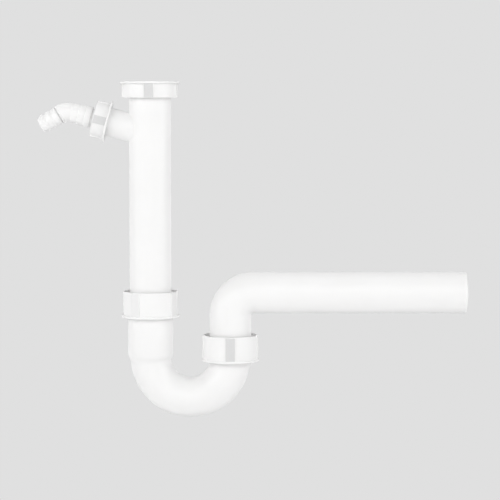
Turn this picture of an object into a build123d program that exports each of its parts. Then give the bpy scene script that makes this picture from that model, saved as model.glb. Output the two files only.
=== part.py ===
"""Tubular trap: upright tail pipe with an appliance branch, U-bend and long outlet bend.

Millimetres, +Z up, +X towards the outlet. The origin is the centre of the top gasket's upper face,
where the waste's rim seats.
"""
import math
import os

from build123d import *

os.makedirs("parts", exist_ok=True)

# Pipes
pipe_od = 40.0
pipe_wall = 1.8
end_chamfer_length = 2.0
end_chamfer_depth = 0.9
tail_length = 240.0

# Clearances
slide_gap = 0.3
seal_gap = 0.08
lip_gap = 0.4

# Waste union at the top, which comes to a 47.8 mm (1 1/2 inch) pipe thread
collar_thick = 2.0
collar_reach = 2.6
gasket_thick = 3.0
gasket_reach = 2.7
gasket_room = 0.7
waste_thread_step = 0.5
waste_thread_depth = 7.5
top_flange_reach = 2.45

# Union nuts
nut_lip = 3.0
nut_wall = 2.15
nut_edge = 0.6
lug_count = 4
lug_width = 9.2
lug_rise = 0.75
flange_thick = 2.2
flange_reach = 1.6
inlet_nut_turn = 31.0

# Compression joints of the trap
slip_ring_thick = 1.5
slip_ring_step = 0.5
slip_ring_room = 0.4
seal_proud = 1.0
seat_depth = 8.0
seat_flare = 1.6
mouth_wall = 1.0
thread_depth = 1.2
thread_cover = 2.5
thread_runout = 1.2
nut_skirt = 19.5
socket_wall = 1.45

# U-bend
bend_radius = 38.5
bend_wall = 2.0
stop_ledge = 0.9
tail_insertion = 43.5
tail_stop_gap = 11.5
inlet_run = 3.8
inlet_socket_tail = 2.5
outlet_socket_depth = 18.3
outlet_stop_drop = 2.0
outlet_socket_tail = 1.5
leg_stop_gap = 1.5

# Outlet bend
outlet_free_leg = 18.9
elbow_inner_radius = 2.0
outlet_run = 227.4

# Appliance branch
branch_clear = 14.2
branch_tilt = 14.5
branch_free = 20.9
branch_bore = 22.0
branch_wall = 2.7
branch_fillet = 1.5
branch_thread_depth = 1.15
branch_thread_length = 7.5
branch_nut_wall = 1.9
branch_nut_lip = 2.5
branch_lug_width = 8.2
branch_flange_reach = 3.1
branch_flange_thick = 1.8

# Hose nozzle
nozzle_seal_thick = 2.0
nozzle_flange_thick = 2.5
nozzle_flange_inset = 0.4
nozzle_flange_room = 0.5
nozzle_bore = 11.0
nozzle_neck_wall = 3.1
nozzle_neck_free = 2.6
nozzle_shank_wall = 3.5
nozzle_ring_rise = 1.2
nozzle_ring_count = 3
nozzle_ring_pitch = 6.4
nozzle_ring_step = 0.2
nozzle_shank_free = 0.9
nozzle_turn = 44.5
nozzle_inner_radius = 3.0
barb_collar_gap = 0.5
barb_collar_width = 1.6
barb_collar_rise = 0.3
barb_count = 3
barb_pitch = 6.8
barb_wall = 1.8
barb_rise = 1.5
barb_tip_wall = 1.0
barb_tip_length = 0.7

# Radii that several pieces share
pipe_r = pipe_od / 2
pipe_bore_r = pipe_r - pipe_wall
lip_bore_r = pipe_r + lip_gap
gasket_r = pipe_r + gasket_reach
gasket_seat_r = gasket_r + gasket_room
waste_thread_r = gasket_seat_r + waste_thread_step
socket_bore_r = pipe_r + slide_gap
socket_r = socket_bore_r + socket_wall
seat_mouth_r = socket_bore_r + seat_flare
thread_root_r = seat_mouth_r + mouth_wall
trap_thread_r = thread_root_r + thread_depth
slip_ring_seat_r = trap_thread_r - slip_ring_step
bend_bore_r = pipe_bore_r - stop_ledge
bend_r = bend_bore_r + bend_wall
leg_spacing = 2 * bend_radius
branch_bore_r = branch_bore / 2
branch_r = branch_bore_r + branch_wall
nozzle_bore_r = nozzle_bore / 2
nozzle_flange_r = branch_r - nozzle_flange_inset
nozzle_neck_r = nozzle_bore_r + nozzle_neck_wall
nozzle_shank_r = nozzle_bore_r + nozzle_shank_wall
nozzle_ring_r = nozzle_shank_r + nozzle_ring_rise

# Heights down the trap
collar_top_z = -gasket_thick
collar_bottom_z = collar_top_z - collar_thick
top_nut_z = collar_bottom_z - nut_lip
tail_end_z = collar_top_z - tail_length
nut_stack = seal_proud + slip_ring_thick + nut_lip
inlet_mouth_z = tail_end_z + tail_insertion
inlet_stop_z = tail_end_z - tail_stop_gap
bend_centre_z = inlet_stop_z - inlet_run
outlet_stop_z = bend_centre_z - outlet_stop_drop
outlet_mouth_z = outlet_stop_z + outlet_socket_depth
leg_end_z = outlet_stop_z + leg_stop_gap
elbow_radius = pipe_r + elbow_inner_radius
outlet_axis_z = outlet_mouth_z + nut_stack + outlet_free_leg + elbow_radius
outlet_end_x = leg_spacing + outlet_run

# Places along the branch, from the tail pipe's axis
tilt = math.radians(branch_tilt)
branch_drop = branch_clear + branch_r / math.cos(tilt) + pipe_r * math.tan(tilt) - top_nut_z
branch_end = pipe_r + branch_free + branch_thread_length
nozzle_seat = branch_end + nozzle_seal_thick
branch_nut_top = nozzle_seat + nozzle_flange_thick + branch_nut_lip

# Places along the nozzle, from its flange's inner face
neck_end = nozzle_flange_thick + branch_nut_lip + nozzle_neck_free
rings_end = neck_end + nozzle_ring_count * nozzle_ring_pitch
nozzle_bend_radius = nozzle_shank_r + nozzle_inner_radius
nozzle_setback = nozzle_bend_radius * math.tan(math.radians(nozzle_turn) / 2)
nozzle_run = rings_end + nozzle_shank_free + nozzle_setback

# Places along the barbs, from the bend's corner
barb_start = nozzle_setback + barb_collar_gap + barb_collar_width
barb_end = barb_start + barb_count * barb_pitch + barb_tip_length


def axis_frame(origin, direction):
    """A plane whose local Y runs along a piece's axis and whose local X is its radius."""
    normal = Vector(0, -1, 0)
    return Plane(origin=origin, x_dir=Vector(direction).cross(normal), z_dir=normal)


def along(frame, distance):
    """The same frame, moved along its axis."""
    return Plane(origin=frame.origin + frame.y_dir * distance, x_dir=frame.x_dir, z_dir=frame.z_dir)


def turned(frame, points, mode=Mode.ADD):
    """A round solid turned about a frame's axis, from (radius, height) points."""
    with BuildSketch(frame) as profile:
        with BuildLine():
            Polyline(*points, close=True)
        make_face()
    revolve(profile.sketch, axis=Axis(frame.origin, frame.y_dir), mode=mode)


def rod(frame, radius, low, high, mode=Mode.ADD):
    """A plain round rod about a frame's axis, or the hole that it leaves."""
    turned(frame, [(0, low), (radius, low), (radius, high), (0, high)], mode)


def washer(frame, inner_r, outer_r, low, high):
    """A flat ring about a frame's axis."""
    turned(frame, [(inner_r, low), (outer_r, low), (outer_r, high), (inner_r, high)])


def swept(path, radius, mode=Mode.ADD):
    """A round solid of one radius that follows a path."""
    with BuildSketch(Plane(origin=path @ 0, z_dir=path % 0)) as section:
        Circle(radius)
    sweep(section.sketch, path=path, mode=mode)


def bent_path(start, corner, end, radius):
    """Two straight runs in the XZ plane, joined by an arc at their corner."""
    with BuildLine(Plane.XZ) as line:
        FilletPolyline(*[(point.X, point.Z) for point in (start, corner, end)], radius=radius)
    return line.wire()


def union_nut(frame, lip, lip_r, seat, seat_r, skirt, thread_r, wall, flange, reach, width, turn=0):
    """A union nut: lip at the frame's origin, flanged mouth at the far end, grip lugs between."""
    body_r = thread_r + wall
    lug_depth = lug_rise + wall / 2
    height = lip + seat + skirt
    turned(
        frame,
        [
            (lip_r, 0),
            (body_r - nut_edge, 0),
            (body_r, nut_edge),
            (body_r, height - flange),
            (body_r + reach, height - flange),
            (body_r + reach, height),
            (thread_r, height),
            (thread_r, lip + seat),
            (seat_r, lip + seat),
            (seat_r, lip),
            (lip_r, lip),
        ],
    )
    lug_start = along(frame, nut_edge).origin
    with BuildSketch(Plane(origin=lug_start, x_dir=-frame.z_dir, z_dir=frame.y_dir)) as lugs:
        with PolarLocations(body_r + lug_rise - lug_depth / 2, lug_count, start_angle=turn):
            Rectangle(lug_depth, width)
    extrude(lugs.sketch, amount=height - flange - nut_edge)


def trap_nut(mouth_frame, turn=0):
    """The union nut of a compression joint, its lip round the pipe above a socket's mouth."""
    union_nut(
        axis_frame(mouth_frame.origin + mouth_frame.y_dir * nut_stack, -mouth_frame.y_dir),
        lip=nut_lip,
        lip_r=lip_bore_r,
        seat=slip_ring_thick + seal_proud,
        seat_r=slip_ring_seat_r,
        skirt=nut_skirt,
        thread_r=trap_thread_r,
        wall=nut_wall,
        flange=flange_thick,
        reach=flange_reach,
        width=lug_width,
        turn=turn,
    )


def slip_ring(mouth_frame):
    """The hard ring that lets a nut turn without dragging its seal."""
    washer(
        mouth_frame,
        lip_bore_r,
        slip_ring_seat_r - slip_ring_room,
        seal_proud,
        seal_proud + slip_ring_thick,
    )


def wedge_seal(mouth_frame):
    """A tapered seal between the pipe and a socket's conical mouth, its flat end proud of the mouth."""
    inner_r = pipe_r + seal_gap
    turned(
        mouth_frame,
        [
            (inner_r, seal_proud),
            (seat_mouth_r - seal_gap, seal_proud),
            (seat_mouth_r - seal_gap, 0),
            (socket_bore_r - seal_gap, -seat_depth),
            (inner_r, -seat_depth),
        ],
    )


def socket_outside(mouth_frame, length):
    """The outside of a socket: threaded mouth, plain wall and the slope onto the bend."""
    thread_end = -nut_skirt + thread_cover
    turned(
        mouth_frame,
        [
            (0, 0),
            (thread_root_r, 0),
            (thread_root_r, thread_end),
            (socket_r, thread_end - thread_runout),
            (socket_r, -length),
            (bend_bore_r, -length - (socket_r - bend_bore_r)),
            (0, -length - (socket_r - bend_bore_r)),
        ],
    )


def socket_inside(mouth_frame, depth):
    """The conical seat and the bore that a pipe slides into, down to its stop."""
    turned(
        mouth_frame,
        [
            (0, 0),
            (seat_mouth_r, 0),
            (socket_bore_r, -seat_depth),
            (socket_bore_r, -depth),
            (0, -depth),
        ],
        mode=Mode.SUBTRACT,
    )


def pipe_end_chamfer(end_frame):
    """The outer chamfer of a pipe's end, on a frame that points out of the pipe."""
    turned(
        end_frame,
        [
            (pipe_r, -end_chamfer_length),
            (pipe_r + end_chamfer_depth, -end_chamfer_length),
            (pipe_r + end_chamfer_depth, 0),
            (pipe_r - end_chamfer_depth, 0),
        ],
        mode=Mode.SUBTRACT,
    )


# Axes of the pieces
up = Vector(0, 0, 1)
branch_direction = Vector(-math.cos(tilt), 0, math.sin(tilt))
barb_fall = math.radians(nozzle_turn) - tilt
barb_direction = Vector(-math.cos(barb_fall), 0, -math.sin(barb_fall))
tail_frame = axis_frame((0, 0, 0), up)
inlet_frame = axis_frame((0, 0, inlet_mouth_z), up)
outlet_frame = axis_frame((leg_spacing, 0, outlet_mouth_z), up)
branch_frame = axis_frame((0, 0, -branch_drop), branch_direction)
nozzle_frame = along(branch_frame, nozzle_seat)
barb_frame = axis_frame(along(nozzle_frame, nozzle_run).origin, barb_direction)

# Tail pipe with its collar and its branch, one moulding
with BuildPart() as tail_pipe:
    rod(tail_frame, pipe_r, tail_end_z, collar_top_z)
    rod(tail_frame, pipe_r + collar_reach, collar_bottom_z, collar_top_z)
    rod(branch_frame, branch_r, 0, branch_end)
    fillet(tail_pipe.edges(Select.NEW), radius=branch_fillet)
    rod(branch_frame, branch_bore_r, 0, branch_end, mode=Mode.SUBTRACT)
    rod(tail_frame, pipe_bore_r, tail_end_z, collar_top_z, mode=Mode.SUBTRACT)
    pipe_end_chamfer(axis_frame((0, 0, tail_end_z), -up))
tail_pipe.part.label = "tail_pipe"
export_step(tail_pipe.part, "parts/tail_pipe.step")

# Flat gasket on the collar, under the waste
with BuildPart() as top_gasket:
    washer(tail_frame, pipe_bore_r, gasket_r, collar_top_z, 0)
top_gasket.part.label = "top_gasket"
export_step(top_gasket.part, "parts/top_gasket.step")

# Union nut for the waste, its lip under the collar
with BuildPart() as top_nut:
    union_nut(
        along(tail_frame, top_nut_z),
        lip=nut_lip,
        lip_r=lip_bore_r,
        seat=collar_thick + gasket_thick,
        seat_r=gasket_seat_r,
        skirt=waste_thread_depth,
        thread_r=waste_thread_r,
        wall=nut_wall,
        flange=flange_thick,
        reach=top_flange_reach,
        width=lug_width,
    )
top_nut.part.label = "top_nut"
export_step(top_nut.part, "parts/top_nut.step")

# Flat seal on the branch's end
with BuildPart() as nozzle_seal:
    washer(branch_frame, nozzle_bore_r, nozzle_flange_r, branch_end, nozzle_seat)
nozzle_seal.part.label = "nozzle_seal"
export_step(nozzle_seal.part, "parts/nozzle_seal.step")

# Union nut that clamps the nozzle's flange on the branch
with BuildPart() as branch_nut:
    union_nut(
        axis_frame(along(branch_frame, branch_nut_top).origin, -branch_direction),
        lip=branch_nut_lip,
        lip_r=nozzle_ring_r + lip_gap,
        seat=nozzle_flange_thick + nozzle_seal_thick,
        seat_r=nozzle_flange_r + nozzle_flange_room,
        skirt=branch_thread_length,
        thread_r=branch_r + branch_thread_depth,
        wall=branch_nut_wall,
        flange=branch_flange_thick,
        reach=branch_flange_reach,
        width=branch_lug_width,
    )
branch_nut.part.label = "branch_nut"
export_step(branch_nut.part, "parts/branch_nut.step")

# Hose nozzle: flange, stepped shank, bend and barbs, one moulding
shank_path = bent_path(
    along(nozzle_frame, neck_end).origin,
    barb_frame.origin,
    along(barb_frame, barb_start).origin,
    nozzle_bend_radius,
)
water_path = bent_path(
    nozzle_frame.origin,
    barb_frame.origin,
    along(barb_frame, barb_end).origin,
    nozzle_bend_radius,
)
barb_root_r = nozzle_bore_r + barb_wall
barb_tip_r = nozzle_bore_r + barb_tip_wall
barb_points = [(0, barb_start), (barb_root_r, barb_start)]
for tooth in range(barb_count):
    tooth_start = barb_start + tooth * barb_pitch
    foot_r = barb_tip_r if tooth == barb_count - 1 else barb_root_r
    barb_points.append((barb_root_r + barb_rise, tooth_start + barb_pitch / 3))
    barb_points.append((foot_r, tooth_start + barb_pitch))
barb_points += [(barb_tip_r, barb_end), (0, barb_end)]
with BuildPart() as hose_nozzle:
    rod(nozzle_frame, nozzle_flange_r, 0, nozzle_flange_thick)
    rod(nozzle_frame, nozzle_neck_r, 0, neck_end)
    swept(shank_path, nozzle_shank_r)
    for ring in range(nozzle_ring_count):
        ring_start = neck_end + ring * nozzle_ring_pitch
        ring_r = nozzle_ring_r - ring * nozzle_ring_rise / nozzle_ring_count
        turned(
            nozzle_frame,
            [
                (0, ring_start),
                (ring_r, ring_start),
                (ring_r - nozzle_ring_step, ring_start + nozzle_ring_pitch),
                (0, ring_start + nozzle_ring_pitch),
            ],
        )
    rod(barb_frame, nozzle_shank_r + barb_collar_rise, barb_start - barb_collar_width, barb_start)
    turned(barb_frame, barb_points)
    swept(water_path, nozzle_bore_r, mode=Mode.SUBTRACT)
hose_nozzle.part.label = "hose_nozzle"
export_step(hose_nozzle.part, "parts/hose_nozzle.step")

# U-bend with its two sockets, one moulding
with BuildLine(Plane.XZ) as bend_line:
    Line((0, inlet_stop_z), (0, bend_centre_z))
    CenterArc((bend_radius, bend_centre_z), bend_radius, 180, 180)
bend_path = bend_line.wire()
inlet_socket_depth = tail_insertion + tail_stop_gap
with BuildPart() as u_bend:
    socket_outside(inlet_frame, inlet_socket_depth + inlet_socket_tail)
    socket_outside(outlet_frame, outlet_socket_depth + outlet_socket_tail)
    swept(bend_path, bend_r)
    swept(bend_path, bend_bore_r, mode=Mode.SUBTRACT)
    socket_inside(inlet_frame, inlet_socket_depth)
    socket_inside(outlet_frame, outlet_socket_depth)
u_bend.part.label = "u_bend"
export_step(u_bend.part, "parts/u_bend.step")

# Compression joint on the inlet leg
with BuildPart() as inlet_wedge_seal:
    wedge_seal(inlet_frame)
inlet_wedge_seal.part.label = "inlet_wedge_seal"
export_step(inlet_wedge_seal.part, "parts/inlet_wedge_seal.step")

with BuildPart() as inlet_slip_ring:
    slip_ring(inlet_frame)
inlet_slip_ring.part.label = "inlet_slip_ring"
export_step(inlet_slip_ring.part, "parts/inlet_slip_ring.step")

with BuildPart() as inlet_nut:
    trap_nut(inlet_frame, turn=inlet_nut_turn)
inlet_nut.part.label = "inlet_nut"
export_step(inlet_nut.part, "parts/inlet_nut.step")

# Compression joint on the outlet leg
with BuildPart() as outlet_wedge_seal:
    wedge_seal(outlet_frame)
outlet_wedge_seal.part.label = "outlet_wedge_seal"
export_step(outlet_wedge_seal.part, "parts/outlet_wedge_seal.step")

with BuildPart() as outlet_slip_ring:
    slip_ring(outlet_frame)
outlet_slip_ring.part.label = "outlet_slip_ring"
export_step(outlet_slip_ring.part, "parts/outlet_slip_ring.step")

with BuildPart() as outlet_nut:
    trap_nut(outlet_frame)
outlet_nut.part.label = "outlet_nut"
export_step(outlet_nut.part, "parts/outlet_nut.step")

# Outlet bend: short leg, elbow and the long pipe to the wall, one moulding
outlet_path = bent_path(
    Vector(leg_spacing, 0, leg_end_z),
    Vector(leg_spacing, 0, outlet_axis_z),
    Vector(outlet_end_x, 0, outlet_axis_z),
    elbow_radius,
)
with BuildPart() as outlet_bend:
    swept(outlet_path, pipe_r)
    swept(outlet_path, pipe_bore_r, mode=Mode.SUBTRACT)
    pipe_end_chamfer(axis_frame((leg_spacing, 0, leg_end_z), -up))
    pipe_end_chamfer(axis_frame((outlet_end_x, 0, outlet_axis_z), (1, 0, 0)))
outlet_bend.part.label = "outlet_bend"
export_step(outlet_bend.part, "parts/outlet_bend.step")
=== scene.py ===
"""Looks of a white tubular trap: moulded pipes, lugged union nuts, a barbed nozzle and rubber seals."""
import math
from typing import NamedTuple

import bmesh
import bpy
from mathutils import Matrix, Vector


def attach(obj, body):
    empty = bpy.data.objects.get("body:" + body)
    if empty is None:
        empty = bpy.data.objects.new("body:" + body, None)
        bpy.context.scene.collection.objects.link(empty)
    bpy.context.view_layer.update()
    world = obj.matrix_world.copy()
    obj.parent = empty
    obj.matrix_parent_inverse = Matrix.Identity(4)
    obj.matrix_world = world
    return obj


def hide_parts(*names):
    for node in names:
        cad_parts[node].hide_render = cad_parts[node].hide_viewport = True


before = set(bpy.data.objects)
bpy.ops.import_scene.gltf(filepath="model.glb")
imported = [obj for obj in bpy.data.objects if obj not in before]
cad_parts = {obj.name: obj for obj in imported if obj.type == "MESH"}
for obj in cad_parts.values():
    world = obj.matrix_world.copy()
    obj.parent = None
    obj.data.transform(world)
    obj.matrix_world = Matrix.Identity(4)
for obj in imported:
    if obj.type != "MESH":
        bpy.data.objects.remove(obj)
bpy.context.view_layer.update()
scene = bpy.context.scene

MM = 0.001


class NutSizes(NamedTuple):
    """A union nut in millimetres: its heights from lip to mouth, its radii, its wall, flange and lugs."""

    lip: float
    seat: float
    skirt: float
    lip_r: float
    seat_r: float
    thread_r: float
    wall: float
    flange: float
    reach: float
    lug_width: float


# Pipes, as in the solids; all sizes are in millimetres
PIPE_R = 20.0
PIPE_BORE_R = 18.2
END_CHAMFER = 2.0
END_CHAMFER_DEPTH = 0.9

# U-bend and its sockets, measured along the bend from either mouth
SOCKET_R = 21.75
SOCKET_BORE_R = 20.3
SEAT_MOUTH_R = 21.9
SEAT_DEPTH = 8.0
THREAD_ROOT_R = 22.9
THREAD_END = 17.0
THREAD_RUNOUT = 1.2
BEND_R = 19.3
BEND_BORE_R = 17.3
BEND_RADIUS = 38.5
BEND_CENTRE_Z = -258.3
LEG_SPACING = 77.0
INLET_MOUTH_Z = -199.5
INLET_STOP = 55.0
INLET_SOCKET = 57.5
OUTLET_MOUTH_Z = -242.0
OUTLET_STOP = 18.3
OUTLET_SOCKET = 19.8

# Outlet bend
LEG_END_Z = -258.8
OUTLET_AXIS_Z = -195.6
OUTLET_END_X = 304.4
ELBOW_RADIUS = 22.0

# Branch, measured along its axis from the middle of the tail pipe
BRANCH_R = 13.7
BRANCH_DROP = 41.52
BRANCH_TILT = math.radians(14.5)
BRANCH_END = 48.4
BRANCH_NUT_TOP = 55.4
NOZZLE_SEAT = 50.4

# Hose nozzle, measured along its path from its flange
NOZZLE_RUN = 32.61
NOZZLE_TURN = math.radians(44.5)
NOZZLE_BEND_RADIUS = 12.0
NOZZLE_BORE_R = 5.5
NOZZLE_FLANGE_R = 13.3
NOZZLE_FLANGE = 2.5
NOZZLE_NECK_R = 8.6
NOZZLE_NECK_END = 7.6
SHANK_R = 9.0
RING_RADII = (10.2, 9.8, 9.4)
RING_PITCH = 6.4
COLLAR_R = 9.3
COLLAR_WIDTH = 1.6
COLLAR_END = 7.01
BARB_COUNT = 3
BARB_PITCH = 6.8
BARB_R = 9.0
BARB_FOOT_R = 7.6
BARB_TIP_R = 6.7
BARB_END = 28.11

# Seals and slip rings
GASKET_R = 22.7
GASKET_THICK = 3.0
NOZZLE_SEAL_THICK = 2.0
WEDGE_THIN_R = 20.2
WEDGE_R = 21.82
WEDGE_BORE_R = 20.08
WEDGE_PROUD = 1.0
SLIP_RING_R = 23.2
SLIP_RING_THICK = 1.5

# Union nuts
LIP_R = 20.4
WASTE_NUT = NutSizes(
    lip=3.0,
    seat=5.0,
    skirt=7.5,
    lip_r=LIP_R,
    seat_r=23.4,
    thread_r=23.9,
    wall=2.15,
    flange=2.2,
    reach=2.45,
    lug_width=9.2,
)
TRAP_NUT = WASTE_NUT._replace(seat=2.5, skirt=19.5, seat_r=23.6, thread_r=24.1, reach=1.6)
BRANCH_NUT = NutSizes(
    lip=2.5,
    seat=4.5,
    skirt=7.5,
    lip_r=10.6,
    seat_r=13.8,
    thread_r=14.85,
    wall=1.9,
    flange=1.8,
    reach=3.1,
    lug_width=8.2,
)
INLET_NUT_TURN = 31.0
LUG_COUNT = 4
LUG_RISE = 0.75

# Details of the looks alone
WASTE_PITCH = 2.309
TRAP_PITCH = 3.0
BRANCH_PITCH = 2.5
THREAD_FACETS = 6
THREAD_STEPS = 72
RUN_OUTS_PER_TURN = 3.0
LEAST_SWELL = 0.02
TOP_THREAD_START = 1.2
SOCKET_THREAD_DEPTH = 15.6
NUT_THREAD_DEPTH = 17.1
BRANCH_THREAD_START = 41.9
BRANCH_NUT_THREAD_START = 43.15
MOUTH_EDGE = 0.5
INLET_STEP_LEAD = 0.6
INLET_STEP_RUN = 4.0
OUTLET_STEP_LEAD = 0.3
OUTLET_STEP_RUN = 2.7
BORE_LEAD = 0.4
BORE_FLARE = 0.3
RING_EDGE = 0.3
GASKET_EDGE = 0.4
LIP_DISH = 2.2
LIP_RIM = 1.15
LIP_RIM_FOOT = 1.5
NUT_LEAD_IN = 1.3
LUG_FOOT = 0.5
LUG_APRON = 0.5
LUG_EDGE = 0.28
GAP_STEPS = 16
FULL_LUG = 0.95
# A weaker weight of frost and painted shade, for lugs turned away from the front
FAINTER_PAINTED_SHADE = 0.3
RING_LIP = 0.35
RING_CREST = 0.5
RING_DRAFT = 0.2
RING_FALL = 0.7
STEP_RUN = 0.4
GROOVE_R = 6.7
GROOVE_WIDTH = 0.8
FIRST_BARB_RISE = 0.6
TIP_EDGE = 0.15
TIP_DRAW = 0.2

# A lug's share of its full height just above its foot, and the levels of the rings up its wall
LUG_SWELL = ((0.02, 0.75), (0.1, 0.94), (0.22, 1.0))
LUG_LEVELS = (0.3, 0.6, 0.9, 1.0)

# Heights below the top, and places along the branch, at which the tail pipe is cut across
TAIL_CUTS = (5.4, 8, 12, 16, 20, 24, *range(60, 240, 12), 240.5, 242.2)
BRANCH_CUTS = range(24, 51, 3)

# Meshing: the least step along a profile, merging distances in metres, the most of a side that
# a rounded corner takes, the bend of a straight tube, and the sides of a tube
HAIR = 0.01
DOUBLE = HAIR * MM / 10
WALL_WELD = HAIR * MM / 4
CORNER_SHARE = 0.45
NO_BEND = 0.0
ROUND = 96
SLIM_ROUND = 64

UP = Vector((0, 0, 1))
BACK = Vector((0, 1, 0))
BRANCH = Vector((-math.cos(BRANCH_TILT), 0, math.sin(BRANCH_TILT)))
BRANCH_ROOT = Vector((0, 0, -BRANCH_DROP))
BARB = Vector((-math.cos(NOZZLE_TURN - BRANCH_TILT), 0, -math.sin(NOZZLE_TURN - BRANCH_TILT)))
INLET_MOUTH = Vector((0, 0, INLET_MOUTH_Z))
OUTLET_MOUTH = Vector((LEG_SPACING, 0, OUTLET_MOUTH_Z))

# Finishes
WHITE = 0.83
THREAD_TONE = 0.82
PIPE_GLOSS = 0.36
NUT_GLOSS = 0.38
THREAD_GLOSS = 0.42
CLOUDING = 0.012
# How much darker the lug faces are painted: painted shade on top of their frosted finish
LUG_PAINTED_SHADE = 0.82
PARTING_HALF = 0.00022

# Studio, in metres
BACKDROP = 0.745
WORLD_LEVEL = 0.328
WORLD_FALL = 0.28
FLOOR_LIFT = 0.7
FLOOR_CENTRE = Vector((0.1, 0.0, -0.75))
FLOOR_REACH = 1.4
FADE_START = 0.35
FADE_RUN = 0.6
MIDDLE = Vector((0.1, 0.0, -0.16))
LAMP_DISTANCE = 2.2
LAMP_SIZE = 1.2

# Soft boxes as (azimuth, elevation, power), with the front at azimuth 0
SOFT_BOXES = (
    (-75, 8, 8.7),
    (-40, 20, 12.5),
    (-40, -12, 6.8),
    (0, 22, 9.4),
    (0, -14, 5.8),
    (40, 20, 9.3),
    (40, -14, 5.8),
    (75, 8, 12.2),
    (150, -6, 8.0),
    (180, -6, 16.0),
    (-150, -6, 8.0),
    (90, 60, 6.0),
    (-90, 60, 6.0),
)

# Camera
SENSOR = 36.0
FRAME_PIXELS = 500.0
FOCAL_PIXELS = 2010.0
FAR_CLIP = 50.0
EYE = (0.0959, -1.93, -0.0025)
EYE_DIP = 4.5


class Signal:
    """A socket of a node tree. Arithmetic on it adds Math nodes, and node() adds any other kind."""

    def __init__(self, tree, owner=None, key=0):
        self.tree = tree
        self.owner = owner
        self.socket = owner.outputs[key] if owner and len(owner.outputs) else None

    def of(self, key):
        """Another output of the same node."""
        return Signal(self.tree, self.owner, key)

    def node(self, kind, settings=None, sockets=None):
        """A new node: its settings first, then the values or links of its sockets."""
        owner = self.tree.nodes.new(kind)
        for name, value in (settings or {}).items():
            setattr(owner, name, value)
        for key, value in (sockets or {}).items():
            for part in value if isinstance(value, list) else [value]:
                if isinstance(part, Signal):
                    self.tree.links.new(part.socket, owner.inputs[key])
                else:
                    owner.inputs[key].default_value = part
        return Signal(self.tree, owner)

    def math(self, operation, *values):
        return self.node("ShaderNodeMath", {"operation": operation}, dict(enumerate(values)))

    def __add__(self, other):
        return self.math("ADD", self, other)

    def __sub__(self, other):
        return self.math("SUBTRACT", self, other)

    def __rsub__(self, other):
        return self.math("SUBTRACT", other, self)

    def __mul__(self, other):
        return self.math("MULTIPLY", self, other)

    def __truediv__(self, other):
        return self.math("DIVIDE", self, other)

    def __rtruediv__(self, other):
        return self.math("DIVIDE", other, self)

    def __abs__(self):
        return self.math("ABSOLUTE", self)

    __radd__ = __add__
    __rmul__ = __mul__

    def least(self, other):
        return self.math("MINIMUM", self, other)

    def most(self, other):
        return self.math("MAXIMUM", self, other)


def grey(value, warmth=0.0):
    """A near-neutral colour, a little warm where warmth is above 0."""
    return (value, value - warmth * 0.4, value - warmth, 1.0)


def blank(name):
    """A material with an empty tree, and a signal to start it from."""
    material = bpy.data.materials.new(name)
    material.use_nodes = True
    material.node_tree.nodes.clear()
    return material, Signal(material.node_tree)


def mixed(start, factor, first, second):
    """Two colours mixed by a factor."""
    return start.node("ShaderNodeMix", {"data_type": "RGBA"}, {0: factor, 6: first, 7: second}).of(2)


def speckle(start, place, scale, detail, distortion=0.0):
    """A cloudy pattern, with about as many clouds to the metre as its scale."""
    sockets = {"Vector": place, "Scale": scale, "Detail": detail, "Distortion": distortion}
    return start.node("ShaderNodeTexNoise", None, sockets)


def raised(start, height, strength, distance):
    """The normal of a surface with a fine relief."""
    sockets = {"Strength": strength, "Distance": distance, "Height": height}
    return start.node("ShaderNodeBump", None, sockets)


def surfaced(start, colour, roughness, normal, **constants):
    """A Principled surface on the material's output."""
    sockets = {"Base Color": colour, "Roughness": roughness, "Normal": normal, **constants}
    shader = start.node("ShaderNodeBsdfPrincipled", None, sockets)
    start.node("ShaderNodeOutputMaterial", None, {"Surface": shader})


def moulded_white(name, tone, gloss, parting=False, grip=False):
    """White moulded plastic with clouds, grain and flow marks, and a parting line, or lugs with a rougher
    frosted finish and painted shade darkening their faces.
    """
    material, start = blank(name)
    place = start.node("ShaderNodeTexCoord").of("Object")
    cloud = speckle(start, place, scale=38.0, detail=3.0)
    grain = speckle(start, place, scale=1500.0, detail=2.0)
    flow = speckle(start, place, scale=160.0, detail=4.0, distortion=0.6)
    colour = mixed(start, cloud, grey(tone - CLOUDING, 0.006), grey(tone + CLOUDING, 0.002))
    roughness = gloss + 0.1 * (cloud - 0.5) + 0.08 * (flow - 0.5)
    height = 0.6 * grain + 0.25 * flow
    if parting:
        across = start.node("ShaderNodeSeparateXYZ", None, {0: place}).of("Y")
        line = 1 - (abs(across) / PARTING_HALF).least(1.0)
        height = height + 1.6 * line
        roughness = roughness + 0.06 * line
    # Lug faces: rougher and frosted, and their colour darkened as painted shade
    if grip:
        panel = start.node("ShaderNodeAttribute", {"attribute_name": "grip"}).of("Fac")
        lug_mark = speckle(start, place, scale=2600.0, detail=1.0)
        colour = mixed(start, panel, colour, grey(tone * LUG_PAINTED_SHADE))
        roughness = roughness + panel * (0.22 + 0.1 * lug_mark)
        height = height + 1.2 * panel * lug_mark
    normal = raised(start, height, strength=0.35, distance=0.00004)
    surfaced(start, colour, roughness, normal, **{"IOR": 1.49, "Diffuse Roughness": 1.0})
    return material


def seal_rubber(name):
    """Black moulded rubber: a dusty bloom over a fine pitted skin."""
    material, start = blank(name)
    place = start.node("ShaderNodeTexCoord").of("Object")
    bloom = speckle(start, place, scale=140.0, detail=4.0)
    pits = start.node("ShaderNodeTexVoronoi", None, {"Vector": place, "Scale": 1400.0})
    colour = mixed(start, bloom, grey(0.022), grey(0.05))
    normal = raised(start, pits, strength=0.4, distance=0.00006)
    surfaced(start, colour, 0.62 + 0.2 * bloom, normal, IOR=1.52)
    return material


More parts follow.
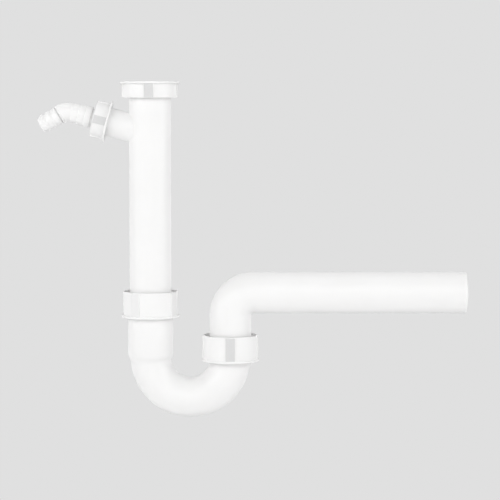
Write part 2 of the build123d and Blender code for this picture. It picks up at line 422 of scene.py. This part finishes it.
def slip_plastic(name):
    """Hard, slippery grey-white plastic, mottled and finely scuffed."""
    material, start = blank(name)
    place = start.node("ShaderNodeTexCoord").of("Object")
    mottle = speckle(start, place, scale=90.0, detail=3.0)
    scuff = speckle(start, place, scale=900.0, detail=3.0)
    colour = mixed(start, mottle, grey(0.76), grey(0.82))
    normal = raised(start, scuff, strength=0.3, distance=0.00004)
    surfaced(start, colour, 0.42 + 0.16 * scuff, normal, IOR=1.5)
    return material


def sockets_of(tree, direction, **kinds):
    """Named sockets on a node group."""
    for name, kind in kinds.items():
        tree.interface.new_socket(name, in_out=direction, socket_type="NodeSocket" + kind)


def finished(start, given, shape, result):
    """The end of a tree: instances made real, the finish put on, and the result named."""
    real = start.node("GeometryNodeRealizeInstances", None, {"Geometry": shape})
    sockets = {"Geometry": real, "Material": given.of("Finish")}
    start.node("NodeGroupOutput", None, {result: start.node("GeometryNodeSetMaterial", None, sockets)})


def circle(start, steps, radius):
    """A round profile."""
    sockets = {"Resolution": steps, "Radius": radius}
    return start.node("GeometryNodeCurvePrimitiveCircle", {"mode": "RADIUS"}, sockets)


def tube_tree():
    """A moulded tube: two round walls along a path, by the path's own radii, closed at both ends."""
    tree = bpy.data.node_groups.new("moulded_tube", "GeometryNodeTree")
    sockets_of(tree, "INPUT", Path="Geometry", Sides="Int", Weld="Float", Finish="Material")
    sockets_of(tree, "OUTPUT", Tube="Geometry")
    start = Signal(tree)
    given = start.node("NodeGroupInput")
    line = start.node("GeometryNodeMeshToCurve", None, {"Mesh": given.of("Path")})
    ring = circle(start, given.of("Sides"), 1.0)
    walls = []
    for wall in ("outer", "inner"):
        radius = start.node("GeometryNodeInputNamedAttribute", {"data_type": "FLOAT"}, {"Name": wall})
        sockets = {"Curve": line, "Profile Curve": ring, "Scale": radius}
        walls.append(start.node("GeometryNodeCurveToMesh", None, sockets))
    walls[1] = start.node("GeometryNodeFlipFaces", None, {"Mesh": walls[1]})
    joined = start.node("GeometryNodeJoinGeometry", None, {"Geometry": walls})
    sockets = {"Geometry": joined, "Distance": given.of("Weld")}
    finished(start, given, start.node("GeometryNodeMergeByDistance", None, sockets), "Tube")
    return tree


def thread_tree():
    """A right-handed thread ridge: a faceted bead along a helix, run out at both ends."""
    tree = bpy.data.node_groups.new("thread_ridge", "GeometryNodeTree")
    sizes = {"Radius": "Float", "Pitch": "Float", "Turns": "Float", "Ridge": "Float"}
    sockets_of(tree, "INPUT", **sizes, Facets="Int", Steps="Int", Finish="Material")
    sockets_of(tree, "OUTPUT", Ridge="Geometry")
    start = Signal(tree)
    given = start.node("NodeGroupInput")
    turns = given.of("Turns")
    helix = start.node(
        "GeometryNodeCurveSpiral",
        None,
        {
            "Resolution": given.of("Steps"),
            "Rotations": turns,
            "Start Radius": given.of("Radius"),
            "End Radius": given.of("Radius"),
            "Height": given.of("Pitch") * turns,
            "Reverse": True,
        },
    )
    along = start.node("GeometryNodeSplineParameter").of("Factor") * turns * RUN_OUTS_PER_TURN
    back = turns * RUN_OUTS_PER_TURN - along
    swell = along.least(back).least(1.0).most(LEAST_SWELL)
    upright = start.node("GeometryNodeSetCurveNormal", {"mode": "Z_UP"}, {"Curve": helix})
    bead = circle(start, given.of("Facets"), given.of("Ridge"))
    sockets = {"Curve": upright, "Profile Curve": bead, "Scale": swell, "Fill Caps": True}
    finished(start, given, start.node("GeometryNodeCurveToMesh", None, sockets), "Ridge")
    return tree


def linked(name, mesh):
    """A mesh as an object of the scene."""
    piece = bpy.data.objects.new(name, mesh)
    scene.collection.objects.link(piece)
    return piece


def baked(name, tree, mesh, **values):
    """What a node tree makes of a mesh, as a plain mesh object at the origin."""
    piece = linked(name, mesh)
    growth = piece.modifiers.new("growth", "NODES")
    growth.node_group = tree
    for item in tree.interface.items_tree:
        if item.in_out == "INPUT" and item.name in values:
            growth[item.identifier] = values[item.name]
    graph = bpy.context.evaluated_depsgraph_get()
    result = bpy.data.meshes.new_from_object(piece.evaluated_get(graph))
    piece.modifiers.clear()
    piece.data = result
    return piece


def closed_up(piece, crease=32.0):
    """Doubles merged, faces turned outwards, and shading smooth up to a crease angle."""
    shell = bmesh.new()
    shell.from_mesh(piece.data)
    bmesh.ops.remove_doubles(shell, verts=shell.verts, dist=DOUBLE)
    bmesh.ops.recalc_face_normals(shell, faces=shell.faces)
    for face in shell.faces:
        face.smooth = True
    shell.to_mesh(piece.data)
    shell.free()
    piece.data.set_sharp_from_angle(angle=math.radians(crease))
    return piece


def softened(points, radius, steps=3):
    """A profile with the corners between its ends rounded, each by less than half of its sides."""
    corners = [Vector(point) for point in points]
    result = [corners[0]]
    for before, corner, after in zip(corners, corners[1:], corners[2:]):
        into, out = before - corner, after - corner
        enter = corner + into * min(radius / into.length, CORNER_SHARE)
        leave = corner + out * min(radius / out.length, CORNER_SHARE)
        for step in range(steps + 1):
            t = step / steps
            result.append(enter * (1 - t) ** 2 + corner * 2 * t * (1 - t) + leave * t**2)
    return result + [corners[-1]]


def drawn_ends(length, radius, edge, draw):
    """A wall's profile, drawn in at both ends, or flared where draw is below 0."""
    return [(0, radius - draw), (edge, radius), (length - edge, radius), (length, radius - draw)]


def centreline(points, radius):
    """A rounded path as runs and arcs, each by its length, start, direction, inward side and radius."""
    pieces = []
    begin = points[0]
    for before, corner, after in zip(points, points[1:], points[2:]):
        into, out = (corner - before).normalized(), (after - corner).normalized()
        turn = into.angle(out)
        setback = radius * math.tan(turn / 2)
        bend_start = corner - into * setback
        inward = (out - into * math.cos(turn)).normalized()
        pieces.append(((bend_start - begin).length, begin, into, None, 0.0))
        pieces.append((radius * turn, bend_start, into, inward, radius))
        begin = corner + out * setback
    last = points[-1] - begin
    pieces.append((last.length, begin, last.normalized(), None, 0.0))
    return pieces


def length_of(pieces):
    """The length of a centreline."""
    return sum(piece[0] for piece in pieces)


def place_on(pieces, distance):
    """The point that lies a distance along a centreline."""
    for piece in pieces:
        length, begin, into, inward, radius = piece
        if distance <= length or piece is pieces[-1]:
            break
        distance -= length
    if inward is None:
        return begin + into * distance
    angle = distance / radius
    return begin + into * radius * math.sin(angle) + inward * radius * (1 - math.cos(angle))


def radius_at(profile, distance):
    """The radius of a profile, a list of (distance, radius), at one distance."""
    for (low, first), (high, second) in zip(profile, profile[1:]):
        if distance <= high:
            share = (distance - low) / (high - low) if high > low else 1.0
            return first + (second - first) * max(share, 0.0)
    return profile[-1][1]


def in_order(profile):
    """A profile whose distances always grow, by at least a hair."""
    result = []
    for distance, radius in profile:
        if result:
            distance = max(distance, result[-1][0] + HAIR)
        result.append((distance, radius))
    return result


def moulded_tube(name, points, bend, outer, inner, sides, finish, spacing=1.6):
    """A tube with its own outer and inner profile along a rounded path."""
    pieces = centreline(points, bend)
    total = length_of(pieces)
    outer, inner = in_order(outer), in_order(inner)
    stations = {distance for distance, _ in outer + inner if 0 < distance < total}
    stations |= {spacing * step for step in range(1, int(total / spacing))}
    ordered = []
    for distance in sorted(stations):
        if distance > (ordered[-1] if ordered else 0.0) + HAIR / 2 and distance < total - HAIR / 2:
            ordered.append(distance)
    rows = [(distance, radius_at(outer, distance), radius_at(inner, distance)) for distance in ordered]
    for distance, at in ((0.0, 0), (total, len(rows) + 1)):
        middle = (radius_at(outer, distance) + radius_at(inner, distance)) / 2
        rows.insert(at, (distance, middle, middle))
    mesh = bpy.data.meshes.new(name)
    path = [place_on(pieces, row[0]) * MM for row in rows]
    mesh.from_pydata(path, [(step, step + 1) for step in range(len(path) - 1)], [])
    for wall, column in (("outer", 1), ("inner", 2)):
        held = mesh.attributes.new(wall, "FLOAT", "POINT")
        held.data.foreach_set("value", [row[column] * MM for row in rows])
    return closed_up(baked(name, tubes, mesh, Sides=sides, Weld=WALL_WELD, Finish=finish))


def standing(origin, axis):
    """A frame whose Z runs along an axis and whose X points to the back, from millimetres to metres."""
    across = axis.cross(BACK)
    turn = Matrix((BACK, across, axis)).transposed().to_4x4()
    return Matrix.Translation(origin * MM) @ turn @ Matrix.Scale(MM, 4)


def thread(name, origin, axis, radius, pitch, turns, ridge):
    """A thread ridge about an axis, starting at an origin in millimetres."""
    piece = baked(
        name,
        threads,
        bpy.data.meshes.new(name),
        Radius=radius * MM,
        Pitch=pitch * MM,
        Turns=turns,
        Ridge=ridge * MM,
        Facets=THREAD_FACETS,
        Steps=THREAD_STEPS,
        Finish=thread_white,
    )
    piece.data.transform(standing(origin, axis) @ Matrix.Scale(1 / MM, 4))
    return closed_up(piece, crease=25.0)


def lug_columns(body_r, half, turn):
    """Columns round a nut, as (place on the lugged outline, direction on plain rings, on a lug's face)."""
    lug_r = body_r + LUG_RISE
    foot = math.sqrt(body_r**2 - half**2)
    # From the plain wall over one edge of a lug: across the lug, across the plain rings, reach, on the face
    edge = [
        (half + LUG_APRON, half + LUG_APRON, None, False),
        (half + 0.12, half + 0.16, None, False),
        (half, half + 0.04, foot + 0.3, False),
        (half, half - 0.06, lug_r - LUG_EDGE, False),
        (half - 0.09, half - 0.14, lug_r - 0.09, False),
        (half - LUG_EDGE, half - 0.3, lug_r, True),
    ]
    face = [(half * share, half * share, lug_r, True) for share in (0.5, 0.0, -0.5)]
    across = edge + face + [(-t, -s, out, grip) for t, s, out, grip in reversed(edge)]
    across.reverse()
    gap_start = math.atan2(half + LUG_APRON, body_r)
    gap = 2 * math.pi / LUG_COUNT - 2 * gap_start
    columns = []
    for lug in range(LUG_COUNT):
        angle = math.radians(turn + 360 / LUG_COUNT * lug)
        outwards = Vector((math.cos(angle), math.sin(angle)))
        sideways = Vector((-math.sin(angle), math.cos(angle)))
        for t, s, out, grip in across:
            reach = math.sqrt(body_r**2 - t**2) if out is None else out
            ray = (outwards * body_r + sideways * s).normalized()
            columns.append((outwards * reach + sideways * t, ray, grip))
        for step in range(1, GAP_STEPS):
            ray_angle = angle + gap_start + gap * step / GAP_STEPS
            ray = Vector((math.cos(ray_angle), math.sin(ray_angle)))
            columns.append((ray * body_r, ray, False))
    return columns


def nut_rings(nut):
    """Rings round a nut's section, as (radius, height above the lip's face, share of the lugs)."""
    body_r = nut.thread_r + nut.wall
    flange_r = body_r + nut.reach
    seat_top = nut.lip + nut.seat
    height = seat_top + nut.skirt
    lug_high = height - nut.flange
    lip_edge = [
        (nut.lip_r, nut.lip),
        (nut.lip_r, LIP_DISH),
        (body_r - LIP_RIM_FOOT, LIP_DISH),
        (body_r - LIP_RIM, 0),
        (body_r, 0),
        (body_r, LUG_FOOT),
    ]
    mouth = [
        (body_r, lug_high),
        (flange_r, lug_high),
        (flange_r, height),
        (nut.thread_r + NUT_LEAD_IN, height),
        (nut.thread_r, height - NUT_LEAD_IN),
        (nut.thread_r, seat_top),
        (nut.seat_r, seat_top),
        (nut.seat_r, nut.lip),
        (nut.lip_r, nut.lip),
    ]
    rings = [(*point, 0.0) for point in softened(lip_edge, radius=0.45, steps=4)]
    rings += [(body_r, LUG_FOOT + rise, share) for rise, share in LUG_SWELL]
    rings += [(body_r, LUG_FOOT + (lug_high - LUG_FOOT) * level, 1.0) for level in LUG_LEVELS]
    rings += [(*point, 0.0) for point in softened(mouth, radius=0.6, steps=4)[1:-1]]
    return rings


def union_nut(name, origin, axis, nut, turn=0, lug_mark=1.0):
    """A union nut with rounded edges and grip lugs, its lip at the origin and its mouth along the axis."""
    columns = lug_columns(nut.thread_r + nut.wall, nut.lug_width / 2, turn)
    shell = bmesh.new()
    grip = shell.verts.layers.float.new("grip")
    grid = []
    for radius, rise, share in nut_rings(nut):
        row = []
        for outline, ray, on_face in columns:
            flat = (ray * radius).lerp(outline, share)
            vert = shell.verts.new((flat.x, flat.y, rise))
            # Lug faces are weighted for their frosted finish and for their painted shade
            vert[grip] = lug_mark if on_face and share > FULL_LUG else 0.0
            row.append(vert)
        grid.append(row)
    for row, following in zip(grid, grid[1:] + grid[:1]):
        for index in range(len(row)):
            beside = (index + 1) % len(row)
            shell.faces.new((row[index], row[beside], following[beside], following[index]))
    mesh = bpy.data.meshes.new(name)
    shell.to_mesh(mesh)
    shell.free()
    mesh.transform(standing(origin, axis))
    mesh.materials.append(nut_white)
    return closed_up(linked(name, mesh))


def smooth_copy(name, node, finish, cuts):
    """A solid's own shape, cut across so that its long walls shade smoothly."""
    shell = bmesh.new()
    shell.from_mesh(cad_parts[node].data)
    bmesh.ops.remove_doubles(shell, verts=shell.verts, dist=DOUBLE)
    for place, across in cuts:
        everything = shell.verts[:] + shell.edges[:] + shell.faces[:]
        bmesh.ops.bisect_plane(shell, geom=everything, plane_co=place * MM, plane_no=across, dist=HAIR * MM)
    mesh = bpy.data.meshes.new(name)
    shell.to_mesh(mesh)
    shell.free()
    mesh.materials.append(finish)
    return closed_up(linked(name, mesh), crease=30.0)


def carried(piece, body, slot, *stands_for):
    """A finished piece on its body, in place of its solids; the slot it is given is not used."""
    if stands_for:
        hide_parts(*stands_for)
    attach(piece, body)


pipe_white = moulded_white("pipe_white", WHITE, PIPE_GLOSS, parting=True)
nut_white = moulded_white("nut_white", WHITE, NUT_GLOSS, grip=True)
nozzle_white = moulded_white("nozzle_white", WHITE, PIPE_GLOSS, parting=True)
thread_white = moulded_white("thread_white", THREAD_TONE, THREAD_GLOSS)
rubber = seal_rubber("seal_rubber")
slip = slip_plastic("slip_ring")
tubes = tube_tree()
threads = thread_tree()

# Tail pipe with its branch
tail_cuts = [(UP * -rise, UP) for rise in TAIL_CUTS]
tail_cuts += [(BRANCH_ROOT + BRANCH * along, BRANCH) for along in BRANCH_CUTS]
tail_pipe = smooth_copy("tail_pipe_moulding", "tail_pipe", pipe_white, tail_cuts)
carried(tail_pipe, "tail", "pipe_white", "tail_pipe")

# U-bend with its sockets
bend_low = BEND_CENTRE_Z - BEND_RADIUS
bend_points = [
    INLET_MOUTH,
    Vector((0, 0, bend_low)),
    Vector((LEG_SPACING, 0, bend_low)),
    OUTLET_MOUTH,
]
bend_length = INLET_MOUTH_Z - BEND_CENTRE_Z + math.pi * BEND_RADIUS + OUTLET_MOUTH_Z - BEND_CENTRE_Z
bend_outer = [
    (0, THREAD_ROOT_R - MOUTH_EDGE),
    (MOUTH_EDGE, THREAD_ROOT_R),
    (THREAD_END, THREAD_ROOT_R),
    (THREAD_END + THREAD_RUNOUT, SOCKET_R),
    (INLET_SOCKET - INLET_STEP_LEAD, SOCKET_R),
    (INLET_SOCKET + INLET_STEP_RUN, BEND_R),
    (bend_length - OUTLET_SOCKET - OUTLET_STEP_RUN, BEND_R),
    (bend_length - OUTLET_SOCKET + OUTLET_STEP_LEAD, SOCKET_R),
    (bend_length - THREAD_END - THREAD_RUNOUT, SOCKET_R),
    (bend_length - THREAD_END, THREAD_ROOT_R),
    (bend_length - MOUTH_EDGE, THREAD_ROOT_R),
    (bend_length, THREAD_ROOT_R - MOUTH_EDGE),
]
bend_inner = [
    (0, SEAT_MOUTH_R),
    (SEAT_DEPTH, SOCKET_BORE_R),
    (INLET_STOP, SOCKET_BORE_R),
    (INLET_STOP + HAIR, BEND_BORE_R),
    (bend_length - OUTLET_STOP - HAIR, BEND_BORE_R),
    (bend_length - OUTLET_STOP, SOCKET_BORE_R),
    (bend_length - SEAT_DEPTH, SOCKET_BORE_R),
    (bend_length, SEAT_MOUTH_R),
]
u_bend = moulded_tube(
    "u_bend_moulding",
    bend_points,
    BEND_RADIUS,
    softened(bend_outer, radius=2.2, steps=5),
    bend_inner,
    ROUND,
    pipe_white,
)
carried(u_bend, "u_bend", "pipe_white", "u_bend")

# Outlet bend
leg_points = [
    Vector((LEG_SPACING, 0, LEG_END_Z)),
    Vector((LEG_SPACING, 0, OUTLET_AXIS_Z)),
    Vector((OUTLET_END_X, 0, OUTLET_AXIS_Z)),
]
leg_length = length_of(centreline(leg_points, ELBOW_RADIUS))
outlet_bend = moulded_tube(
    "outlet_moulding",
    leg_points,
    ELBOW_RADIUS,
    softened(drawn_ends(leg_length, PIPE_R, END_CHAMFER, END_CHAMFER_DEPTH), radius=0.9, steps=4),
    drawn_ends(leg_length, PIPE_BORE_R, BORE_LEAD, -BORE_FLARE),
    ROUND,
    pipe_white,
)
carried(outlet_bend, "outlet_bend", "pipe_white", "outlet_bend")

# Hose nozzle
nozzle_start = BRANCH_ROOT + BRANCH * NOZZLE_SEAT
nozzle_corner = nozzle_start + BRANCH * NOZZLE_RUN
nozzle_points = [nozzle_start, nozzle_corner, nozzle_corner + BARB * BARB_END]
nozzle_length = length_of(centreline(nozzle_points, NOZZLE_BEND_RADIUS))
shank = [
    (0, NOZZLE_FLANGE_R),
    (NOZZLE_FLANGE, NOZZLE_FLANGE_R),
    (NOZZLE_FLANGE + HAIR, NOZZLE_NECK_R),
    (NOZZLE_NECK_END, NOZZLE_NECK_R),
]
for ring, ring_r in enumerate(RING_RADII):
    ring_start = NOZZLE_NECK_END + RING_PITCH * ring
    shank += [
        (ring_start + HAIR, ring_r - RING_LIP),
        (ring_start + RING_CREST, ring_r),
        (ring_start + RING_PITCH - RING_FALL, ring_r - RING_DRAFT),
        (ring_start + RING_PITCH, ring_r - RING_FALL),
    ]
barb_start = nozzle_length - BARB_END + COLLAR_END
shank += [
    (ring_start + RING_PITCH + STEP_RUN, SHANK_R),
    (barb_start - COLLAR_WIDTH - STEP_RUN, SHANK_R),
    (barb_start - COLLAR_WIDTH, COLLAR_R),
    (barb_start, COLLAR_R),
]
barbs = [
    (barb_start + HAIR, GROOVE_R),
    (barb_start + GROOVE_WIDTH, GROOVE_R),
    (barb_start + GROOVE_WIDTH + HAIR, BARB_FOOT_R + FIRST_BARB_RISE),
]
for tooth in range(BARB_COUNT):
    tooth_start = barb_start + BARB_PITCH * tooth
    foot_r = BARB_TIP_R if tooth == BARB_COUNT - 1 else BARB_FOOT_R
    barbs += [(tooth_start + BARB_PITCH / 3, BARB_R), (tooth_start + BARB_PITCH, foot_r)]
barbs += [(nozzle_length - TIP_EDGE, BARB_TIP_R), (nozzle_length, BARB_TIP_R - TIP_DRAW)]
nozzle_inner = [
    (0, NOZZLE_BORE_R),
    (nozzle_length - BORE_LEAD, NOZZLE_BORE_R),
    (nozzle_length, NOZZLE_BORE_R + BORE_FLARE),
]
hose_nozzle = moulded_tube(
    "hose_nozzle_moulding",
    nozzle_points,
    NOZZLE_BEND_RADIUS,
    softened(shank, radius=0.6, steps=4) + softened(barbs, radius=0.25),
    nozzle_inner,
    SLIM_ROUND,
    nozzle_white,
    spacing=0.8,
)
carried(hose_nozzle, "hose_nozzle", "nozzle_white", "hose_nozzle")

# Waste nut at the top, with its thread
top_nut = union_nut("top_nut_moulding", -UP * (WASTE_NUT.lip + WASTE_NUT.seat), UP, WASTE_NUT)
carried(top_nut, "top_nut", "nut_white", "top_nut")
top_thread = thread(
    "top_nut_thread",
    UP * TOP_THREAD_START,
    UP,
    radius=WASTE_NUT.thread_r,
    pitch=WASTE_PITCH,
    turns=2.3,
    ridge=0.9,
)
carried(top_thread, "top_nut", "nut_white")

# Compression joints of the U-bend: nut, threads, wedge seal and slip ring
# The inlet nut's turned lugs get a fainter painted shade than the outlet nut's
for side, mouth, turn, lug_mark in (
    ("inlet", INLET_MOUTH, INLET_NUT_TURN, FAINTER_PAINTED_SHADE),
    ("outlet", OUTLET_MOUTH, 0.0, 1.0),
):
    lip_face = mouth + UP * (TRAP_NUT.lip + TRAP_NUT.seat)
    nut = union_nut(side + "_nut_moulding", lip_face, -UP, TRAP_NUT, turn, lug_mark)
    carried(nut, side + "_nut", "nut_white", side + "_nut")
    socket_thread = thread(
        side + "_socket_thread",
        mouth - UP * SOCKET_THREAD_DEPTH,
        UP,
        radius=THREAD_ROOT_R,
        pitch=TRAP_PITCH,
        turns=4.6,
        ridge=0.85,
    )
    carried(socket_thread, "u_bend", "pipe_white")
    nut_thread = thread(
        side + "_nut_thread",
        mouth - UP * NUT_THREAD_DEPTH,
        UP,
        radius=TRAP_NUT.thread_r,
        pitch=TRAP_PITCH,
        turns=5.0,
        ridge=0.95,
    )
    carried(nut_thread, side + "_nut", "nut_white")
    wedge_length = SEAT_DEPTH + WEDGE_PROUD
    wedge = moulded_tube(
        side + "_wedge_ring",
        [mouth - UP * SEAT_DEPTH, mouth + UP * WEDGE_PROUD],
        NO_BEND,
        softened([(0, WEDGE_THIN_R), (SEAT_DEPTH, WEDGE_R), (wedge_length, WEDGE_R)], radius=0.3),
        [(0, WEDGE_BORE_R), (wedge_length, WEDGE_BORE_R)],
        ROUND,
        rubber,
    )
    carried(wedge, side + "_wedge_seal", "seal_rubber", side + "_wedge_seal")
    ring = moulded_tube(
        side + "_slip_washer",
        [mouth + UP * WEDGE_PROUD, mouth + UP * (WEDGE_PROUD + SLIP_RING_THICK)],
        NO_BEND,
        softened(drawn_ends(SLIP_RING_THICK, SLIP_RING_R, RING_EDGE, RING_EDGE), radius=0.15),
        [(0, LIP_R), (SLIP_RING_THICK, LIP_R)],
        ROUND,
        slip,
    )
    carried(ring, side + "_slip_ring", "slip_ring", side + "_slip_ring")

# Branch nut and the threads under it
branch_nut = union_nut(
    "branch_nut_moulding", BRANCH_ROOT + BRANCH * BRANCH_NUT_TOP, -BRANCH, BRANCH_NUT
)
carried(branch_nut, "branch_nut", "nut_white", "branch_nut")
branch_thread = thread(
    "branch_thread",
    BRANCH_ROOT + BRANCH * BRANCH_THREAD_START,
    BRANCH,
    radius=BRANCH_R,
    pitch=BRANCH_PITCH,
    turns=2.2,
    ridge=0.75,
)
carried(branch_thread, "tail", "pipe_white")
branch_nut_thread = thread(
    "branch_nut_thread",
    BRANCH_ROOT + BRANCH * BRANCH_NUT_THREAD_START,
    BRANCH,
    radius=BRANCH_NUT.thread_r,
    pitch=BRANCH_PITCH,
    turns=1.8,
    ridge=0.8,
)
carried(branch_nut_thread, "branch_nut", "nut_white")

# Flat seals
gasket = moulded_tube(
    "top_gasket_ring",
    [-UP * GASKET_THICK, UP * 0.0],
    NO_BEND,
    softened(drawn_ends(GASKET_THICK, GASKET_R, GASKET_EDGE, GASKET_EDGE), radius=0.25),
    softened(drawn_ends(GASKET_THICK, PIPE_BORE_R, RING_EDGE, -RING_EDGE), radius=0.2),
    ROUND,
    rubber,
    spacing=0.6,
)
carried(gasket, "tail", "seal_rubber", "top_gasket")
flat_seal = moulded_tube(
    "nozzle_seal_ring",
    [BRANCH_ROOT + BRANCH * BRANCH_END, BRANCH_ROOT + BRANCH * NOZZLE_SEAT],
    NO_BEND,
    softened(drawn_ends(NOZZLE_SEAL_THICK, NOZZLE_FLANGE_R, RING_EDGE, RING_EDGE), radius=0.2),
    [(0, NOZZLE_BORE_R), (NOZZLE_SEAL_THICK, NOZZLE_BORE_R)],
    SLIM_ROUND,
    rubber,
)
carried(flat_seal, "nozzle_seal", "seal_rubber", "nozzle_seal")


def seen_rays(start):
    """1 for rays that show a background to the eye, also in a reflection, and 0 for its light."""
    rays = start.node("ShaderNodeLightPath")
    return rays.of("Is Camera Ray").most(rays.of("Is Glossy Ray")).most(rays.of("Is Transmission Ray"))


def studio_world():
    """A plain backdrop for the eye, and soft light that falls off from the horizon to the zenith."""
    world = bpy.data.worlds.new("studio")
    scene.world = world
    world.use_nodes = True
    world.node_tree.nodes.clear()
    start = Signal(world.node_tree)
    seen = seen_rays(start)
    direction = start.node("ShaderNodeTexCoord").of("Generated")
    height = start.node("ShaderNodeSeparateXYZ", None, {0: direction}).of("Z")
    light = WORLD_LEVEL - WORLD_FALL * height.most(0.0)
    strength = seen * BACKDROP + (1 - seen) * light
    lit = start.node("ShaderNodeBackground", None, {"Color": grey(1.0), "Strength": strength})
    start.node("ShaderNodeOutputWorld", None, {"Surface": lit})


def soft_lamp(azimuth, elevation, power):
    """A square lamp aimed at the object's middle; lamps at the sides and behind leave no gleams."""
    around, up = math.radians(azimuth), math.radians(elevation)
    ray = Vector((math.sin(around) * math.cos(up), -math.cos(around) * math.cos(up), math.sin(up)))
    lamp = bpy.data.lights.new("soft_box", "AREA")
    lamp.shape = "SQUARE"
    lamp.size = LAMP_SIZE
    lamp.energy = power
    holder = bpy.data.objects.new("soft_box", lamp)
    holder.location = MIDDLE + ray * LAMP_DISTANCE
    holder.rotation_euler = ray.to_track_quat("Z", "Y").to_euler()
    holder.visible_glossy = abs(azimuth) < 90
    scene.collection.objects.link(holder)


def pale_floor():
    """A round floor that fades into the backdrop and keeps the object's shadow."""
    disc = bmesh.new()
    bmesh.ops.create_circle(disc, cap_ends=True, cap_tris=True, radius=FLOOR_REACH, segments=ROUND)
    mesh = bpy.data.meshes.new("floor")
    disc.to_mesh(mesh)
    disc.free()
    mesh.transform(Matrix.Translation(FLOOR_CENTRE))
    material, start = blank("floor_paper")
    place = start.node("ShaderNodeTexCoord").of("Object")
    centred = start.node("ShaderNodeMapping", None, {"Vector": place, "Location": -FLOOR_CENTRE})
    distance = start.node("ShaderNodeVectorMath", {"operation": "LENGTH"}, {0: centred}).of("Value")
    fade = ((distance - FLOOR_REACH * FADE_START) / (FLOOR_REACH * FADE_RUN)).most(0.0).least(1.0)
    fibre = speckle(start, place, scale=400.0, detail=2.0)
    tint = mixed(start, fibre, grey(0.78), grey(0.8))
    paper = start.node("ShaderNodeBsdfDiffuse", None, {"Color": tint})
    glow = start.node("ShaderNodeEmission", None, {"Color": grey(1.0), "Strength": BACKDROP})
    lifted = seen_rays(start) * FLOOR_LIFT
    seen = start.node("ShaderNodeMixShader", None, {0: lifted, 1: paper, 2: glow})
    clear = start.node("ShaderNodeBsdfTransparent")
    blend = start.node("ShaderNodeMixShader", None, {0: fade, 1: seen, 2: clear})
    start.node("ShaderNodeOutputMaterial", None, {"Surface": blend})
    mesh.materials.append(material)
    linked("floor", mesh)


studio_world()
for azimuth, elevation, power in SOFT_BOXES:
    soft_lamp(azimuth, elevation, power)
pale_floor()

lens = bpy.data.cameras.new("view")
lens.sensor_width = SENSOR
lens.lens = FOCAL_PIXELS / FRAME_PIXELS * SENSOR
lens.clip_end = FAR_CLIP
eye = bpy.data.objects.new("view", lens)
eye.location = EYE
eye.rotation_euler = (math.radians(90 - EYE_DIP), 0.0, 0.0)
scene.collection.objects.link(eye)
scene.camera = eye
scene.view_settings.view_transform = "Standard"
